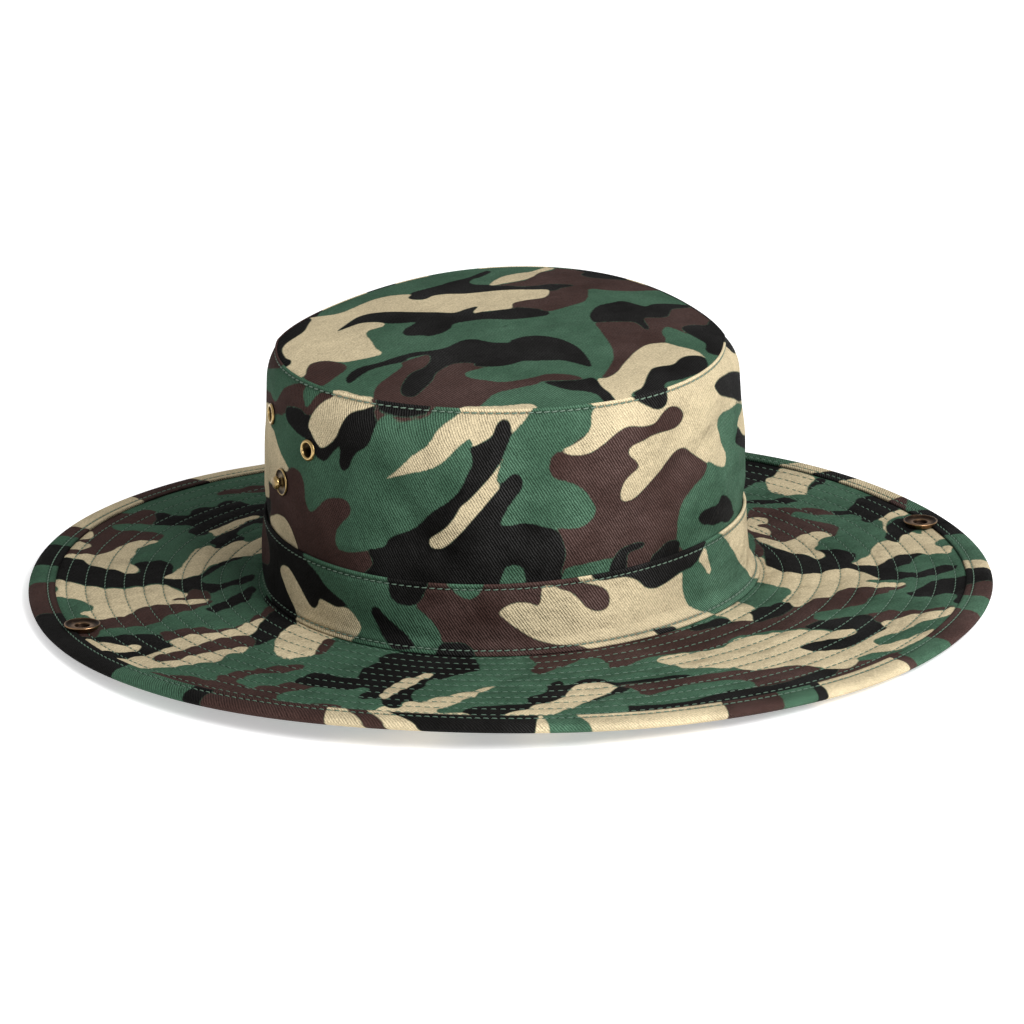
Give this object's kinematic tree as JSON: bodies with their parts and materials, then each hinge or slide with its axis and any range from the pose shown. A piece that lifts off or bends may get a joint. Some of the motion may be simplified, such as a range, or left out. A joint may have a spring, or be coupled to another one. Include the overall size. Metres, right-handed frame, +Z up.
{
  "type": "bush hat",
  "caption": "Cloth bush hat in a camouflage print, with a sewn band, a wide stitched brim with a bound edge, brass eyelets and side snaps.",
  "frame": {"origin": "middle of the hat's outline on the surface that it lies on", "axes": "+Z up through the crown, -Y toward the front of the hat, +X toward the snap at the right as seen from the front"},
  "size_m": [0.3692, 0.352, 0.1054],
  "materials": {
    "camouflage_twill": "matte",
    "antique_brass": "satin"
  },
  "bodies": {
    "root": {"crown_tip": "camouflage_twill", "crown_side": "camouflage_twill", "hat_band": "camouflage_twill", "brim": "camouflage_twill", "brim_binding": "camouflage_twill", "crown_stud_left": "antique_brass", "crown_stud_right": "antique_brass", "brim_socket_left": "antique_brass", "brim_socket_right": "antique_brass", "eyelet_left_front": "antique_brass", "eyelet_left_rear": "antique_brass", "eyelet_right_front": "antique_brass", "eyelet_right_rear": "antique_brass"}
  },
  "joints": []
}
